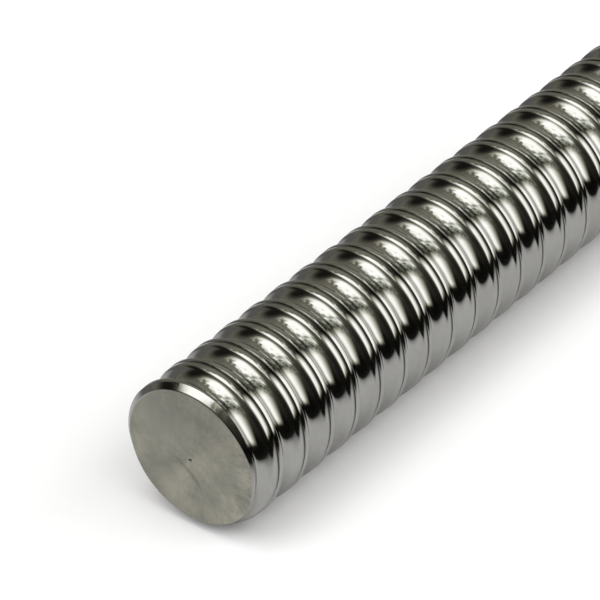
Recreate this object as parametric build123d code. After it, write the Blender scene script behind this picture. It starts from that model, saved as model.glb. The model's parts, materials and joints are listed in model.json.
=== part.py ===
from build123d import *
import os
from math import ceil, cos, radians, sin, sqrt

# Ball screw shaft: one hardened steel bar with a left-hand, single-start ball track rolled into it.
# +X runs along the axis, from the near end face to the far one, and the bar lies on the plane z = 0
# with the middle of its length over the origin.

# Driving dimensions, in millimetres and degrees
outer_diameter = 20.0  # over the lands, between two turns of the track
length = 100.0  # from end face to end face
lead = 5.0  # advance of the track in one turn
ball_diameter = 3.175  # of the balls that run in the track
ball_path_rise = 0.3  # how far outside the lands the ball centres run
arch_conformity = 0.535  # radius of a track flank, as a share of the ball's diameter
contact_angle = 45.0  # between a flank's contact point and the bottom of the track
flank_reach = 52.0  # how far up from the bottom each flank's arc runs
shoulder_width = 0.65  # along the axis, the rolled-over edge between a flank and the land
land_start_angle = 17.0  # about +X from straight up, where a land's middle meets the near end face
end_chamfer = 0.75  # 45 degree chamfer on both ends
centre_mark_diameter = 0.8  # turning centre's punch mark on the near end face
centre_mark_angle = 90.0  # included angle of that mark's cone

outer_radius = outer_diameter / 2
ball_path_radius = outer_radius + ball_path_rise
arch_radius = arch_conformity * ball_diameter
cutter_overrun = 0.5  # how far the track's cutter stands out of the bar


def track_section():
    """Half-open Gothic arch with its shoulders, drawn about a ball's centre: x outwards, y along the bar."""
    # Each flank's arc is centred past the ball's centre, so that it touches the ball at the contact angle.
    centre_gap = arch_radius - ball_diameter / 2
    centre_out = centre_gap * cos(radians(contact_angle))
    centre_across = centre_gap * sin(radians(contact_angle))

    def on_flank(angle):
        return centre_out - arch_radius * cos(angle), arch_radius * sin(angle) - centre_across

    bottom = centre_out - sqrt(arch_radius**2 - centre_across**2)
    middle_x, middle_y = on_flank(radians(flank_reach / 2))
    flank_x, flank_y = on_flank(radians(flank_reach))

    # The shoulder is straight from the flank to the land, and the cutter follows it on past the land.
    shoulder_slope = shoulder_width / (-ball_path_rise - flank_x)
    top = cutter_overrun - ball_path_rise
    top_y = flank_y + shoulder_slope * (top - flank_x)

    half = [
        ThreePointArc((bottom, 0), (middle_x, middle_y), (flank_x, flank_y)),
        Line((flank_x, flank_y), (top, top_y)),
        Line((top, top_y), (top, 0)),
    ]
    return make_face(half + [mirror(edge, about=Plane.XZ) for edge in half])


def track_cutter():
    """The turns of the track's cutter about +Z, one solid each, from before one end of the bar to past the other."""
    ball_path = Helix(pitch=lead, height=lead, radius=ball_path_radius, lefthand=True)
    across_path = Plane(origin=ball_path @ 0, x_dir=(1, 0, 0), z_dir=ball_path % 0)
    turn = sweep(across_path * track_section(), path=ball_path, is_frenet=True).solid()
    # The track's bottom is half a lead from the middle of the land that meets the near end face.
    first = Location((0, 0, -1.5 * lead), (0, 0, 180 + land_start_angle))
    return [Pos(0, 0, lead * index) * first * turn for index in range(ceil(length / lead) + 3)]


def centre_mark():
    """The cone of the punch mark, with its mouth on the near end face at z = 0."""
    radius = centre_mark_diameter / 2
    depth = radius / sin(radians(centre_mark_angle / 2)) * cos(radians(centre_mark_angle / 2))
    return Cone(radius, 0, depth, align=(Align.CENTER, Align.CENTER, Align.MIN))


def screw_shaft():
    """The finished bar: turned with both ends chamfered, rolled and marked, then laid down along +X."""
    bar = Cylinder(outer_radius, length, align=(Align.CENTER, Align.CENTER, Align.MIN))
    bar = chamfer(bar.edges().filter_by(GeomType.CIRCLE), end_chamfer)
    rolled = bar.solid().cut(*track_cutter(), centre_mark().solid())
    return Location((-length / 2, 0, outer_radius), (0, 90, 0)) * rolled


os.makedirs("parts", exist_ok=True)
export_step(screw_shaft(), "parts/screw_shaft.step")
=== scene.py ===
"""Dresses the ball screw shaft: its rolled track, its ground ends, their finishes and a plain studio."""

import json
import math
from types import SimpleNamespace

import bpy
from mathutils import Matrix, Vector

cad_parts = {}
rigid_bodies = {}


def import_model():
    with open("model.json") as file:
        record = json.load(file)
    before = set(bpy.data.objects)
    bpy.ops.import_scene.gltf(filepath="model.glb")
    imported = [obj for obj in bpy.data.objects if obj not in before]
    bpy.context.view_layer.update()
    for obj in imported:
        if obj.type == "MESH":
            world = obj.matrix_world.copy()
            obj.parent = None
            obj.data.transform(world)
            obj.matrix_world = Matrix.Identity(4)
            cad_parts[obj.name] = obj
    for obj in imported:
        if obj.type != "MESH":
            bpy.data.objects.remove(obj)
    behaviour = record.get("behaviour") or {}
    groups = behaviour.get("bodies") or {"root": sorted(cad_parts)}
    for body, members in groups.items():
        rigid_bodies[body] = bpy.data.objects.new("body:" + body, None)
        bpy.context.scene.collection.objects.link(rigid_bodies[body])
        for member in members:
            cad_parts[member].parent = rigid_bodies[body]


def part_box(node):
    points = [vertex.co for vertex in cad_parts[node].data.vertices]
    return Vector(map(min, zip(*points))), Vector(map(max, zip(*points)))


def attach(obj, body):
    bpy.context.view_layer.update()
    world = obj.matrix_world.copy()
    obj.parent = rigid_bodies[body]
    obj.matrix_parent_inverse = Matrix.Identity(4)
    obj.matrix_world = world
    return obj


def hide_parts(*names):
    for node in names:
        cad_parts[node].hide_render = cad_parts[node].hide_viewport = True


for start_up_object in list(bpy.data.objects):
    bpy.data.objects.remove(start_up_object)
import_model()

bl_info = {
    "name": "Ball Screw Shaft",
    "version": (1, 0, 0),
    "blender": (4, 5, 0),
    "location": "View3D > Sidebar > Ball Screw",
    "description": "Models a rolled ball screw shaft with a left-hand track and sets it in a plain studio",
    "category": "Object",
}

SHAFT_NODE = "screw_shaft"
SHAFT_LOW, SHAFT_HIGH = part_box(SHAFT_NODE)
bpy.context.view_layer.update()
SHAFT_RADIUS = (SHAFT_HIGH.z - SHAFT_LOW.z) / 2
SHAFT_LENGTH = SHAFT_HIGH.x - SHAFT_LOW.x
AXIS_MIDDLE = (SHAFT_LOW + SHAFT_HIGH) / 2
NEAR_CENTRE = Vector((SHAFT_LOW.x, AXIS_MIDDLE.y, AXIS_MIDDLE.z))
MM = 0.001

# Tolerances by which points and faces are picked
TOUCHING = 0.001 * MM  # points nearer than this are one
ON_CUT = 0.0001 * MM  # how near to a cut a point is taken to lie on it
ON_RING = 0.1 * MM  # how far a ring's points may be from the radius that picks the ring
AT_END = 0.5 * MM  # how far an end face's centre may be from the shaft's end
FACING_END = 0.999  # least part along the axis of an end face's normal
SHARP_EDGE = math.radians(35)  # steeper edges aren't smoothed

# Segments in the arcs of the track's profile and round the tools that turn the ends
FOLD_SEGMENTS = 2
NEAR_CROWN_SEGMENTS = 6
FAR_CROWN_SEGMENTS = 4
SHOULDER_SEGMENTS = 5
FLANK_SEGMENTS = 9
BLANK_SEGMENTS = 192
MARK_SEGMENTS = 24


def millimetres(name, value, description):
    """A length property in metres, whose default is given in millimetres."""
    return bpy.props.FloatProperty(
        name=name, description=description, default=value * MM, min=0,
        subtype="DISTANCE", unit="LENGTH", precision=5,
    )


def degrees(name, value, description):
    """An angle property, whose default is given in degrees."""
    return bpy.props.FloatProperty(
        name=name, description=description, default=math.radians(value), subtype="ANGLE", unit="ROTATION"
    )


def colour(name, value, description):
    """A linear colour property."""
    return bpy.props.FloatVectorProperty(
        name=name, description=description, default=value, size=3, min=0, max=1, subtype="COLOR"
    )


def share(name, value, description):
    """A plain number property."""
    return bpy.props.FloatProperty(name=name, description=description, default=value, min=0, subtype="FACTOR")


class TrackSizes(bpy.types.PropertyGroup):
    """Sizes of the rolled ball track and of the land between its turns"""

    lead: millimetres("Lead", 5.0, "Advance of the track in one turn")
    ball_diameter: millimetres("Ball Diameter", 3.175, "Diameter of the balls that run in the track")
    ball_path_rise: millimetres("Ball Path Rise", 0.3, "How far outside the lands the ball centres run")
    arch_conformity: share("Arch Conformity", 0.535, "Radius of a flank as a share of the ball's diameter")
    contact_angle: degrees("Contact Angle", 45.0, "Between a flank's contact point and the track's bottom")
    near_reach: degrees("Near Reach", 61.8, "How far up the track's arc runs, below a near lip")
    far_reach: degrees("Far Reach", 63.5, "How far up the track's arc runs, below a far lip")
    near_shoulder: millimetres("Near Shoulder", 0.47, "Radius between a near lip's crown and its flank")
    far_shoulder: millimetres("Far Shoulder", 0.24, "Radius between a far lip's crown and its flank")
    near_crown: millimetres("Near Crown", 2.4, "Radius across the top of a near lip")
    far_crown: millimetres("Far Crown", 1.39, "Radius across the top of a far lip")
    near_slope: degrees("Near Slope", 5.6, "Slope where a near lip's crown goes over into its shoulder")
    far_slope: degrees("Far Slope", 7.5, "Slope where a far lip's crown goes over into its shoulder")
    near_drop: millimetres("Near Drop", 0.045, "How far a near lip's top stays below a far lip's")
    fold_edge: millimetres("Fold Edge", 0.285, "From the land's middle to the far lip's edge over the fold")
    fold_angle: degrees("Fold Angle", 65.0, "Slope of the far lip's wall in the fold between the two lips")
    fold_rounding: millimetres("Fold Rounding", 0.03, "Radius at the top of that wall")
    start_angle: degrees(
        "Start Angle", 17.0, "About the axis from straight up, where a land's middle meets the near end"
    )
    steps: bpy.props.IntProperty(
        name="Steps", description="Segments of the mesh in one turn of the track", default=96, min=24
    )


class EndSizes(bpy.types.PropertyGroup):
    """Sizes of the two machined ends"""

    chamfer: millimetres("Chamfer", 0.75, "45 degree chamfer on both ends")
    edge_break: millimetres("Edge Break", 0.13, "Rounding between a chamfer and its end face")
    mark_diameter: millimetres("Centre Mark Diameter", 0.62, "Punch mark on the near end face")
    mark_angle: degrees("Centre Mark Angle", 90.0, "Included angle of that mark's cone")


class FinishColours(bpy.types.PropertyGroup):
    """Colours and roughness of the shaft's two finishes"""

    steel: colour("Rolled Steel", (0.48, 0.48, 0.465), "Burnished steel of the rolled track and lands")
    steel_roughness: share("Rolled Steel Roughness", 0.08, "Roughness of the burnished steel")
    ground: colour("Ground Steel", (0.435, 0.425, 0.36), "Ground steel of the end faces")
    ground_roughness: share("Ground Steel Roughness", 0.40, "Roughness of the ground steel")


class StudioSettings(bpy.types.PropertyGroup):
    """Floor, soft boxes, lamp and camera"""

    floor: colour("Floor", (0.97, 0.965, 1.0), "Plain pale floor")
    box_level: share("Soft Box Level", 2.18, "Strength of the two soft boxes")
    room_level: share("Room Level", 1.0, "Strength of the dim room round the soft boxes")
    fill_power: bpy.props.FloatProperty(
        name="Fill Power", description="Power of the lamp over the floor", default=5.1, min=0, unit="POWER"
    )
    heading: degrees("Heading", 37.107, "Turn of the view from the shaft's axis, about straight up")
    pitch: degrees("Pitch", 35.234, "How far the view looks down")
    standoff: bpy.props.FloatVectorProperty(
        name="Standoff", description="Camera's place from the middle of the near end face",
        default=(-0.23757, -0.19575, 0.23997), size=3, subtype="TRANSLATION", unit="LENGTH", precision=5,
    )
    lens: bpy.props.FloatProperty(
        name="Lens", description="Focal length in millimetres", default=200.5, min=1,
        subtype="DISTANCE_CAMERA", unit="CAMERA",
    )


# ---------------------------------------------------------------- modelling


def clear_selection():
    if bpy.context.mode != "OBJECT":
        bpy.ops.object.mode_set(mode="OBJECT")
    bpy.ops.object.select_all(action="DESELECT")


def activate(piece):
    """Makes the piece the only one selected."""
    clear_selection()
    piece.select_set(True)
    bpy.context.view_layer.objects.active = piece


def edit_all(piece):
    """Enters edit mode with the whole piece selected."""
    activate(piece)
    bpy.ops.object.mode_set(mode="EDIT")
    bpy.ops.mesh.select_all(action="SELECT")


def edit_none(piece, element):
    """Enters edit mode with nothing of the piece selected, ready to select one kind of element."""
    activate(piece)
    bpy.ops.object.mode_set(mode="EDIT")
    bpy.ops.mesh.select_mode(type=element)
    bpy.ops.mesh.select_all(action="DESELECT")


def edit_rings(piece, test):
    """Enters edit mode with the edges selected that run across the X axis and pass the test at both ends."""
    edit_none(piece, "EDGE")
    leave_edit()
    points = piece.data.vertices
    for edge in piece.data.edges:
        start, end = (points[index].co for index in edge.vertices)
        edge.select = abs(start.x - end.x) < TOUCHING and test(start) and test(end)
    bpy.ops.object.mode_set(mode="EDIT")


def leave_edit():
    bpy.ops.object.mode_set(mode="OBJECT")


def spin_on(centre, angle, segments):
    """Carries the selected point on along an arc in the XZ plane; a positive angle turns +Z towards +X."""
    bpy.ops.mesh.spin(steps=segments, angle=-angle, center=centre, axis=(0, 1, 0))


def extrude_on(offset):
    """Carries the selected point on along a straight line."""
    bpy.ops.mesh.extrude_region_move(TRANSFORM_OT_translate={"value": offset})


def apply_modifier(piece, kind, name, **settings):
    activate(piece)
    modifier = piece.modifiers.new(name, kind)
    for key, value in settings.items():
        setattr(modifier, key, value)
    bpy.ops.object.modifier_apply(modifier=modifier.name)


def combine(piece, tool, operation):
    """Applies a Boolean of the tool to the piece, and removes the tool."""
    apply_modifier(piece, "BOOLEAN", operation.title(), operation=operation, object=tool, solver="EXACT")
    bpy.data.objects.remove(tool, do_unlink=True)


def off_axis(point):
    """How far a point is from the shaft's axis."""
    return math.hypot(point.y - AXIS_MIDDLE.y, point.z - AXIS_MIDDLE.z)


def off_end(point):
    """How far along the axis a point is from the nearer end of the shaft."""
    return abs(abs(point.x - AXIS_MIDDLE.x) - SHAFT_LENGTH / 2)


def upward(angle):
    """The direction in the XZ plane at an angle from +Z towards +X."""
    return Vector((math.sin(angle), 0, math.cos(angle)))


def lip_places(track, side):
    """Sizes of one lip and the places of its arcs, drawn as if for the far side.

    x counts from the middle of the land and z from the shaft's axis.
    """
    if side > 0:
        reach, shoulder, crown = track.far_reach, track.far_shoulder, track.far_crown
        slope, drop = track.far_slope, 0
    else:
        reach, shoulder, crown = track.near_reach, track.near_shoulder, track.near_crown
        slope, drop = track.near_slope, track.near_drop
    arch_radius = track.arch_conformity * track.ball_diameter
    centre_gap = arch_radius - track.ball_diameter / 2
    flank_centre = Vector((
        track.lead / 2 + centre_gap * math.sin(track.contact_angle), 0,
        SHAFT_RADIUS + track.ball_path_rise + centre_gap * math.cos(track.contact_angle),
    ))
    flank_top = flank_centre - arch_radius * upward(reach)
    # The shoulder's arc follows the crown's, and a straight run as steep as the flank leads on from it.
    low = SHAFT_RADIUS - drop - crown * (1 - math.cos(slope)) - shoulder * (math.cos(slope) - math.cos(reach))
    shoulder_low = Vector((flank_top.x - (low - flank_top.z) / math.tan(reach), 0, low))
    shoulder_centre = shoulder_low - shoulder * upward(reach)
    crown_centre = shoulder_centre - (crown - shoulder) * upward(slope)
    return SimpleNamespace(
        reach=reach, slope=slope, crown=crown, crown_centre=crown_centre, shoulder_centre=shoulder_centre,
        shoulder_low=shoulder_low, flank_top=flank_top, flank_centre=flank_centre,
        bottom_angle=math.asin((flank_centre.x - track.lead / 2) / arch_radius),
    )


def model_profile(track):
    """Draws one lead's profile over the X axis: from a land's fold over each lip to the track's bottom."""
    near, far = lip_places(track, -1), lip_places(track, 1)
    # The far lip's crown turns down at the fold's edge into a wall, whose foot is on the near lip's crown.
    rounding, wall = track.fold_rounding, track.fold_angle
    inner = math.asin((far.crown_centre.x - track.fold_edge) / (far.crown - rounding))
    rounding_centre = far.crown_centre + (far.crown - rounding) * upward(-inner)
    wall_top = rounding_centre + rounding * upward(-wall)
    down = Vector((-math.cos(wall), 0, -math.sin(wall)))
    near_centre = Vector((-near.crown_centre.x, 0, near.crown_centre.z))
    gap = wall_top - near_centre
    run = -gap.dot(down) - math.sqrt(gap.dot(down) ** 2 - gap.length_squared + near.crown**2)
    foot = wall_top + run * down
    near_inner = math.asin((foot.x - near_centre.x) / near.crown)

    halves = []
    for side, lip in ((-1, near), (1, far)):

        def placed(point):
            return Vector((side * point.x, 0, point.z))

        # Each half starts from a small plane that is merged into one point.
        clear_selection()
        bpy.ops.mesh.primitive_plane_add(size=0.1 * MM, location=foot)
        half = bpy.context.object
        bpy.ops.object.transform_apply(location=True, rotation=False, scale=False)
        edit_all(half)
        bpy.ops.mesh.merge(type="CENTER")
        if side > 0:
            extrude_on(wall_top - foot)
            spin_on(rounding_centre, wall - inner, FOLD_SEGMENTS)
            spin_on(lip.crown_centre, inner + lip.slope, FAR_CROWN_SEGMENTS)
        else:
            spin_on(near_centre, -(near_inner + lip.slope), NEAR_CROWN_SEGMENTS)
        spin_on(placed(lip.shoulder_centre), side * (lip.reach - lip.slope), SHOULDER_SEGMENTS)
        extrude_on(placed(lip.flank_top) - placed(lip.shoulder_low))
        spin_on(placed(lip.flank_centre), side * (lip.bottom_angle - lip.reach), FLANK_SEGMENTS)
        leave_edit()
        halves.append(half)
    clear_selection()
    for half in halves:
        half.select_set(True)
    profile = halves[0]
    bpy.context.view_layer.objects.active = profile
    bpy.ops.object.join()
    edit_all(profile)
    bpy.ops.mesh.remove_doubles(threshold=TOUCHING)
    leave_edit()
    return profile


def model_rolled_bar(track):
    """The track and its lands, a quarter of a lead too long at each end and closed there."""
    bar = model_profile(track)
    turns = math.ceil(SHAFT_LENGTH / track.lead) + 2
    apply_modifier(
        bar, "SCREW", "Rolled track", axis="X", angle=-2 * math.pi, screw_offset=track.lead, iterations=turns,
        steps=track.steps, render_steps=track.steps, use_merge_vertices=True, merge_threshold=TOUCHING,
    )
    edit_all(bar)
    bpy.ops.transform.rotate(value=-track.start_angle, orient_axis="X", center_override=(0, 0, 0))
    bpy.ops.transform.translate(value=NEAR_CENTRE - Vector((track.lead, 0, 0)))
    bpy.ops.mesh.remove_doubles(threshold=TOUCHING)
    spare = track.lead / 4
    for place, outward in ((SHAFT_LOW.x - spare, -1), (SHAFT_HIGH.x + spare, 1)):
        bpy.ops.mesh.select_all(action="SELECT")
        bpy.ops.mesh.bisect(
            plane_co=(place, 0, 0), plane_no=(outward, 0, 0), use_fill=True, clear_outer=True,
            threshold=ON_CUT,
        )
    bpy.ops.mesh.select_all(action="SELECT")
    bpy.ops.mesh.normals_make_consistent(inside=False)
    leave_edit()
    return bar


def model_turned_blank(ends):
    """The envelope of both ends: their faces, chamfers and broken edges, and the near one's centre mark."""
    spare = 1.0 * MM
    clear_selection()
    bpy.ops.mesh.primitive_cylinder_add(
        vertices=BLANK_SEGMENTS, radius=SHAFT_RADIUS + spare, depth=SHAFT_LENGTH, end_fill_type="NGON",
        location=AXIS_MIDDLE, rotation=(0, math.pi / 2, 0),
    )
    blank = bpy.context.object
    bpy.ops.object.transform_apply(location=True, rotation=True, scale=True)

    def end_ring(radius):
        """The test for a point of the ring of that radius in an end face."""
        return lambda point: off_end(point) < TOUCHING and abs(off_axis(point) - radius) < ON_RING

    edit_rings(blank, end_ring(SHAFT_RADIUS + spare))
    bpy.ops.mesh.bevel(offset=ends.chamfer + spare, segments=1)
    edit_rings(blank, end_ring(SHAFT_RADIUS - ends.chamfer))
    bpy.ops.mesh.bevel(offset=ends.edge_break, segments=3)
    leave_edit()

    mark_radius = ends.mark_diameter / 2
    mark_depth = mark_radius / math.tan(ends.mark_angle / 2)
    outside = mark_depth / 4
    clear_selection()
    bpy.ops.mesh.primitive_cone_add(
        vertices=MARK_SEGMENTS, radius1=mark_radius * (1 + outside / mark_depth), radius2=0,
        depth=mark_depth + outside, location=NEAR_CENTRE + Vector(((mark_depth - outside) / 2, 0, 0)),
        rotation=(0, math.pi / 2, 0),
    )
    cone = bpy.context.object
    bpy.ops.object.transform_apply(location=True, rotation=True, scale=True)
    combine(blank, cone, "DIFFERENCE")
    edit_rings(blank, end_ring(mark_radius))
    bpy.ops.mesh.bevel(offset=mark_radius / 8, segments=2)
    leave_edit()
    return blank


def end_faces(shaft):
    """Tells for each face whether it lies in one of the two end faces."""
    return [
        off_end(face.center) < AT_END and abs(face.normal.x) > FACING_END for face in shaft.data.polygons
    ]


def smooth(shaft):
    """Shades the shaft smooth but for its sharp edges, and keeps the flat end faces flat."""
    activate(shaft)
    bpy.ops.object.shade_smooth_by_angle(angle=SHARP_EDGE)
    edit_none(shaft, "FACE")
    leave_edit()
    for face, at_end in zip(shaft.data.polygons, end_faces(shaft)):
        face.select = at_end
    bpy.ops.object.mode_set(mode="EDIT")
    bpy.ops.mesh.region_to_loop()
    bpy.ops.mesh.mark_sharp()
    leave_edit()


# ---------------------------------------------------------------- shader wiring


class Wire:
    """A shader socket that takes part in arithmetic: each operator adds its Math node to the tree."""

    def __init__(self, tree, socket=None):
        self.tree = tree
        self.socket = socket

    def node(self, kind, settings=None, inputs=None, output=0):
        """Adds a node, with its settings before the values or wires of its inputs, and returns one output."""
        made = self.tree.nodes.new(kind)
        for key, value in (settings or {}).items():
            setattr(made, key, value)
        for key, value in (inputs or {}).items():
            if isinstance(value, Wire):
                self.tree.links.new(value.socket, made.inputs[key])
            else:
                made.inputs[key].default_value = value
        return Wire(self.tree, made.outputs[output] if made.outputs else None)

    def math(self, operation, *terms):
        return self.node("ShaderNodeMath", {"operation": operation}, dict(enumerate(terms)))

    def __add__(self, other):
        return self.math("ADD", self, other)

    def __sub__(self, other):
        return self.math("SUBTRACT", self, other)

    def __mul__(self, other):
        return self.math("MULTIPLY", self, other)

    def __truediv__(self, other):
        return self.math("DIVIDE", self, other)

    def __rsub__(self, other):
        return self.math("SUBTRACT", other, self)

    def __rtruediv__(self, other):
        return self.math("DIVIDE", other, self)

    def __neg__(self):
        return self.math("MULTIPLY", self, -1)

    __radd__ = __add__
    __rmul__ = __mul__

    def parts(self):
        """The three parts of a vector."""
        return [self.node("ShaderNodeSeparateXYZ", inputs={0: self}, output=part) for part in range(3)]

    def vector(self, x, y, z):
        return self.node("ShaderNodeCombineXYZ", inputs={0: x, 1: y, 2: z})

    def rise(self, start, end):
        """0 below start, 1 above end and smooth between them."""
        inputs = {0: self, 1: start, 2: end}
        return self.node("ShaderNodeMapRange", {"interpolation_type": "SMOOTHSTEP"}, inputs)

    def fall(self, start, end):
        """1 below start, 0 above end and smooth between them."""
        return 1 - self.rise(start, end)

    def reach(self, other):
        """How far the point made by this value and the other one is from zero."""
        return self.math("SQRT", self * self + other * other)

    def blend(self, low, high):
        """The colour that goes from low to high with this value."""
        inputs = {0: self, 6: as_colour(low), 7: as_colour(high)}
        return self.node("ShaderNodeMix", {"data_type": "RGBA"}, inputs, output=2)

    def noise(self, scale, detail, roughness):
        """Smooth noise about 0.5 on this vector."""
        inputs = {"Vector": self, "Scale": scale, "Detail": detail, "Roughness": roughness}
        return self.node("ShaderNodeTexNoise", inputs=inputs)


def as_colour(value):
    return value if isinstance(value, Wire) else (*value, 1.0)


def scaled(tone, *factors):
    """A colour times one factor, or times one for each of its parts."""
    factors = factors if len(factors) == 3 else factors * 3
    return tuple(min(1.0, part * factor) for part, factor in zip(tone, factors))


def new_material(name):
    material = bpy.data.materials.new(name)
    material.use_nodes = True
    material.node_tree.nodes.clear()
    return material


def object_place(start):
    """A point's place in its object's own coordinates."""
    return start.node("ShaderNodeTexCoord", output="Object")


def seen_by_camera(start):
    """1 for what the camera sees directly, and 0 for what lights or is mirrored."""
    return start.node("ShaderNodeLightPath", output="Is Camera Ray")


def shaft_coordinates(start):
    """Place on the shaft from the middle of its near end face: along it, and the two directions across it."""
    return start.node("ShaderNodeMapping", inputs={"Vector": object_place(start), "Location": -NEAR_CENTRE})


def metal(start, base, roughness, bump):
    """Ends the material's tree in a metal surface."""
    surface = start.node(
        "ShaderNodeBsdfPrincipled",
        inputs={"Base Color": base, "Metallic": 1.0, "Roughness": roughness, "Normal": bump},
    )
    start.node("ShaderNodeOutputMaterial", inputs={0: surface})


# ---------------------------------------------------------------- finishes


def finish_rolled_steel(colours, track, ends):
    """Burnished steel with fine rolling lines along the track, and painted shade along each land's fold."""
    material = new_material("Rolled steel")
    start = Wire(material.node_tree)
    place = shaft_coordinates(start)
    along, across, up = place.parts()
    angle = start.math("ARCTAN2", -across, up)
    turn = along / track.lead + (angle - track.start_angle) / (2 * math.pi)

    # The painted shade deepens towards the fold from its near side, and stops short of the chamfers.
    from_land = (start.math("FRACT", turn + 0.5) - 0.5) * track.lead
    past_chamfer = 1.2 * ends.chamfer
    off_chamfers = along.rise(ends.chamfer, past_chamfer) * (SHAFT_LENGTH - along).rise(ends.chamfer, past_chamfer)
    fold_shade = from_land.rise(-0.40 * MM, 0.02 * MM) * from_land.fall(0.18 * MM, 0.23 * MM) * off_chamfers

    # Nine times finer over the track's width than along it, so that the noise draws into lines.
    from_seam = start.math("FRACT", turn)
    lines = start.vector(from_seam * track.lead * 9 + along * 0.7, across, up).noise(800, 3, 0.6)
    cloud = place.noise(260, 3, 0.55)
    speck = place.noise(1500, 2, 0.5)
    tone = 0.5 + (cloud - 0.5) * 0.16 + (lines - 0.5) * 0.10
    steel = tuple(colours.steel)
    base = tone.rise(0.38, 0.62).blend(scaled(steel, 0.84, 0.83, 0.80), scaled(steel, 1.10))
    # Painted shade: the fold's colour goes towards nearly black.
    base = (fold_shade * 0.96).blend(base, (0.02, 0.018, 0.014))
    roughness = colours.steel_roughness + (cloud - 0.5) * 0.05 + (lines - 0.5) * 0.05
    height = lines * 0.6 + speck * 0.3
    bump = start.node("ShaderNodeBump", inputs={"Strength": 0.05, "Distance": 0.02 * MM, "Height": height})
    metal(start, base, roughness, bump)
    return material


def finish_ground_steel(colours):
    """Ground steel: mottled, with a darker blot, short strokes in from the rim and one long stroke."""
    material = new_material("Ground steel")
    start = Wire(material.node_tree)
    place = shaft_coordinates(start)
    _, across, up = place.parts()
    cloud = place.noise(230, 4, 0.62)
    grain = place.noise(1700, 3, 0.6)

    # The short strokes run in from a third of the rim.
    radius = across.reach(up)
    angle = start.math("ARCTAN2", up, -across)
    rim = radius.rise(5.5 * MM, 8.6 * MM) * angle.rise(-1.5, -0.3) * angle.fall(0.5, 1.2)
    strokes = (start.vector(angle, radius * 60, 0.3).noise(9, 3, 0.7) - 0.5) * rim

    # The long stroke is part of a wide arc across the face, a little below its middle.
    from_arc = start.math("ABSOLUTE", (across - 6.0 * MM).reach(up + 9.2 * MM) - 9.3 * MM)
    near_middle = (across - 0.3 * MM).reach(up + 2 * MM).fall(1.4 * MM, 3.2 * MM)
    stroke = from_arc.fall(0.06 * MM, 0.42 * MM) * near_middle

    tone = 0.5 + (cloud - 0.5) * 1.2 + (grain - 0.5) * 0.35 + strokes * 1.2 - stroke * 0.30
    ground = tuple(colours.ground)
    base = tone.rise(0.15, 0.85).blend(scaled(ground, 0.72, 0.73, 0.74), scaled(ground, 1.28, 1.27, 1.26))
    blot = (across - 4.4 * MM).reach(up - 4.0 * MM).fall(0.5 * MM, 5.5 * MM)
    base = (blot * 0.6).blend(base, scaled(ground, 0.84, 0.88, 0.93))
    roughness = colours.ground_roughness + (cloud - 0.5) * 0.2 + (grain - 0.5) * 0.1
    height = cloud + grain * 0.5 + strokes * 0.6 - stroke * 0.5
    bump = start.node("ShaderNodeBump", inputs={"Strength": 0.18, "Distance": 0.02 * MM, "Height": height})
    metal(start, base, roughness, bump)
    return material


# ---------------------------------------------------------------- studio


def lay_floor(studio):
    """A wide pale floor, plain to the camera. The steel mirrors a painted-shade copy of it: only a sheet
    round the shaft, at 0.62 of its colour and dimmer behind, with dark beyond its edges.
    """
    clear_selection()
    bpy.ops.mesh.primitive_circle_add(vertices=96, radius=3.0, fill_type="NGON", location=(0, 0, SHAFT_LOW.z))
    floor = bpy.context.object
    floor.name = "pale_floor"
    bpy.ops.object.transform_apply(location=True, rotation=True, scale=True)
    material = new_material("Pale floor")
    start = Wire(material.node_tree)
    along, across, _ = object_place(start).parts()
    # Painted shade for what the steel mirrors: the sheet's edges, and dimmer behind the shaft.
    front_edge = across.rise(-0.115, -0.035)
    near_corner = along.fall(-0.115, -0.055) * across.fall(0.0, 0.08)
    dimmed_behind = across.fall(0.03, 0.09) * 0.75 + 0.25
    sheet = front_edge * (1 - near_corner) * dimmed_behind
    pale = tuple(studio.floor)
    # The mirrored copy is painted shade: dark off the sheet, 0.62 of the floor's colour on it.
    dark, shaded_pale, plain = (
        start.node("ShaderNodeBsdfDiffuse", inputs={"Color": as_colour(tone)})
        for tone in ((0.008, 0.008, 0.007), scaled(pale, 0.62), pale)
    )
    mirrored = start.node("ShaderNodeMixShader", inputs={0: sheet, 1: dark, 2: shaded_pale})
    shown = start.node("ShaderNodeMixShader", inputs={0: seen_by_camera(start), 1: mirrored, 2: plain})
    start.node("ShaderNodeOutputMaterial", inputs={0: shown})
    floor.data.materials.append(material)


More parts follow.
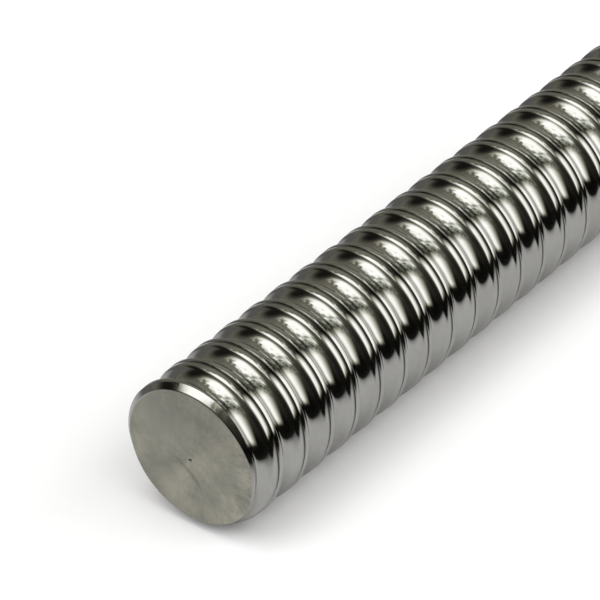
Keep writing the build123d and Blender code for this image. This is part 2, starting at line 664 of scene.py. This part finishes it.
def light_room(studio):
    """Two soft boxes in a dim room, and plain white where the camera looks past the floor."""
    world = bpy.data.worlds.new("Studio")
    bpy.context.scene.world = world
    world.use_nodes = True
    world.node_tree.nodes.clear()
    start = Wire(world.node_tree)
    x, y, z = start.node("ShaderNodeTexCoord", output="Generated").parts()
    # A flat map of the room about straight up, on which the horizon is a circle of radius 1 or nearly so.
    flat = 1.02 + z
    east, north = x / flat, y / flat

    def patch(place, size):
        """1 at its place on the map, down to 0 at its size away from there."""
        return ((east - place[0]) / size[0]).reach((north - place[1]) / size[1]).fall(0.0, 1.0)

    def lumps(east_scale, north_scale, layer, detail=2):
        """Noise on the map, finer to the north, because the track draws it out that way."""
        return start.vector(east * east_scale, north * north_scale, layer).noise(1.0, detail, 0.6)

    # Each box is a product of its edges, and noise makes two edges of the back one uneven.
    streaks = lumps(5, 17, 0.4) - 0.5
    teeth = (lumps(5, 15, 2.7) - 0.5) * 0.5
    front = (
        (east * 0.12 - north).rise(0.135, 0.305)
        * north.rise(-0.80, -0.68)
        * (north - east * 0.44).rise(-0.945, -0.745)
        * (east + north * 0.4).rise(-0.60, 0.12)
        * (1 - 0.86 * east.rise(0.19, 0.96))
    )
    back = (
        (north + teeth).rise(-0.10, 0.09)
        * north.fall(0.32, 0.53)
        * (east + north * 0.25).rise(-0.62, -0.38)
        * (east - north).rise(-1.08, -0.80)
        * (east + north * 0.85 + streaks).fall(0.02, 0.39)
    )
    boxes = start.math("MINIMUM", front + back, 1.0)

    # The dim room has a wall with a dark doorway in it, a spotted glow overhead, a ceiling and a corner.
    mottle = lumps(3, 9, 5.1, detail=3)
    spots = lumps(6, 18, 7.9, detail=3).rise(0.38, 0.62)
    doorway = patch((-0.40, 0.655), (0.95, 0.31)).rise(0.0, 0.95)
    wall = 0.21 * north.rise(-0.12, 0.20) * east.rise(-1.0, -0.5) * (1 - doorway * 0.96)
    glow = 0.39 * patch((-0.10, -0.10), (0.58, 0.28)) * (0.10 + spots * 1.8)
    ceiling = 0.14 * patch((0.45, 0.25), (0.60, 0.30))
    corner = 0.052 * patch((-0.48, -0.20), (0.58, 0.45))
    room = 0.006 + (wall + glow + ceiling + corner) * (0.55 + mottle * 0.9)

    level = room * (1 - boxes) * studio.room_level + boxes * studio.box_level
    dim_tint = patch((-0.05, 0.0), (0.75, 0.45)).blend((1.0, 0.97, 0.79), (0.94, 1.0, 0.83))
    tint = boxes.rise(0.1, 0.8).blend(dim_tint, (1.0, 1.0, 0.985))
    shade = start.node("ShaderNodeVectorMath", {"operation": "SCALE"}, {0: tint, "Scale": level})
    lit = start.node("ShaderNodeBackground", inputs={"Color": shade, "Strength": 1.0})
    plain = start.node("ShaderNodeBackground", inputs={"Color": (1, 1, 1, 1), "Strength": 1.0})
    shown = start.node("ShaderNodeMixShader", inputs={0: seen_by_camera(start), 1: lit, 2: plain})
    start.node("ShaderNodeOutputWorld", inputs={0: shown})


def hang_fill(studio):
    """A soft lamp over the floor before the near end, aimed at the shaft. The steel doesn't mirror it."""
    place, width = Vector((-0.42, -0.22, 0.90)), 1.3
    clear_selection()
    bpy.ops.object.light_add(
        type="AREA", location=place, rotation=(-place).to_track_quat("-Z", "Y").to_euler()
    )
    lamp = bpy.context.object
    lamp.name = "fill"
    lamp.data.shape = "DISK"
    lamp.data.size = width
    lamp.data.energy = studio.fill_power
    lamp.visible_glossy = False


def set_camera(studio):
    """Looks down along the shaft from before its near end."""
    level = math.cos(studio.pitch)
    look = Vector((
        level * math.cos(studio.heading), level * math.sin(studio.heading), -math.sin(studio.pitch),
    ))
    clear_selection()
    bpy.ops.object.camera_add(
        location=NEAR_CENTRE + Vector(studio.standoff), rotation=look.to_track_quat("-Z", "Y").to_euler()
    )
    camera = bpy.context.object
    camera.name = "view"
    camera.data.sensor_width = 36
    camera.data.lens = studio.lens
    camera.data.clip_start = 10 * MM
    bpy.context.scene.camera = camera


# ---------------------------------------------------------------- operators


class AddRolledShaft(bpy.types.Operator):
    """Models the rolled shaft with its machined ends, in place of the plain one"""

    bl_idname = "ball_screw.add_rolled_shaft"
    bl_label = "Add Rolled Shaft"
    bl_options = {"REGISTER", "UNDO"}

    def execute(self, context):
        scene = context.scene
        shaft = model_rolled_bar(scene.screw_track)
        shaft.name = "rolled_shaft"
        combine(shaft, model_turned_blank(scene.screw_ends), "INTERSECT")
        smooth(shaft)
        shaft.data.materials.clear()
        rolled = finish_rolled_steel(scene.screw_colours, scene.screw_track, scene.screw_ends)
        shaft.data.materials.append(rolled)
        shaft.data.materials.append(finish_ground_steel(scene.screw_colours))
        for face, at_end in zip(shaft.data.polygons, end_faces(shaft)):
            face.material_index = 1 if at_end else 0
        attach(shaft, "root")
        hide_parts(SHAFT_NODE)
        return {"FINISHED"}


class SetStudio(bpy.types.Operator):
    """Lays the floor, lights the room and sets the camera"""

    bl_idname = "ball_screw.set_studio"
    bl_label = "Set Studio"
    bl_options = {"REGISTER", "UNDO"}

    def execute(self, context):
        studio = context.scene.screw_studio
        lay_floor(studio)
        light_room(studio)
        hang_fill(studio)
        set_camera(studio)
        context.scene.view_settings.view_transform = "Standard"
        return {"FINISHED"}


class BallScrewPanel(bpy.types.Panel):
    """The shaft and its studio, with their sizes"""

    bl_idname = "VIEW3D_PT_ball_screw"
    bl_label = "Ball Screw"
    bl_space_type = "VIEW_3D"
    bl_region_type = "UI"
    bl_category = "Ball Screw"

    def draw(self, context):
        for operator, groups in (
            (AddRolledShaft, ("screw_track", "screw_ends", "screw_colours")), (SetStudio, ("screw_studio",)),
        ):
            for group in groups:
                sizes = getattr(context.scene, group)
                for name in sizes.__annotations__:
                    self.layout.prop(sizes, name)
            self.layout.operator(operator.bl_idname)


GROUPS = {
    "screw_track": TrackSizes,
    "screw_ends": EndSizes,
    "screw_colours": FinishColours,
    "screw_studio": StudioSettings,
}
CLASSES = (*GROUPS.values(), AddRolledShaft, SetStudio, BallScrewPanel)


def register():
    for item in CLASSES:
        bpy.utils.register_class(item)
    for name, group in GROUPS.items():
        setattr(bpy.types.Scene, name, bpy.props.PointerProperty(type=group))


def unregister():
    for name in GROUPS:
        delattr(bpy.types.Scene, name)
    for item in reversed(CLASSES):
        bpy.utils.unregister_class(item)


def main():
    register()
    bpy.ops.ball_screw.add_rolled_shaft()
    bpy.ops.ball_screw.set_studio()


if __name__ == "__main__":
    main()
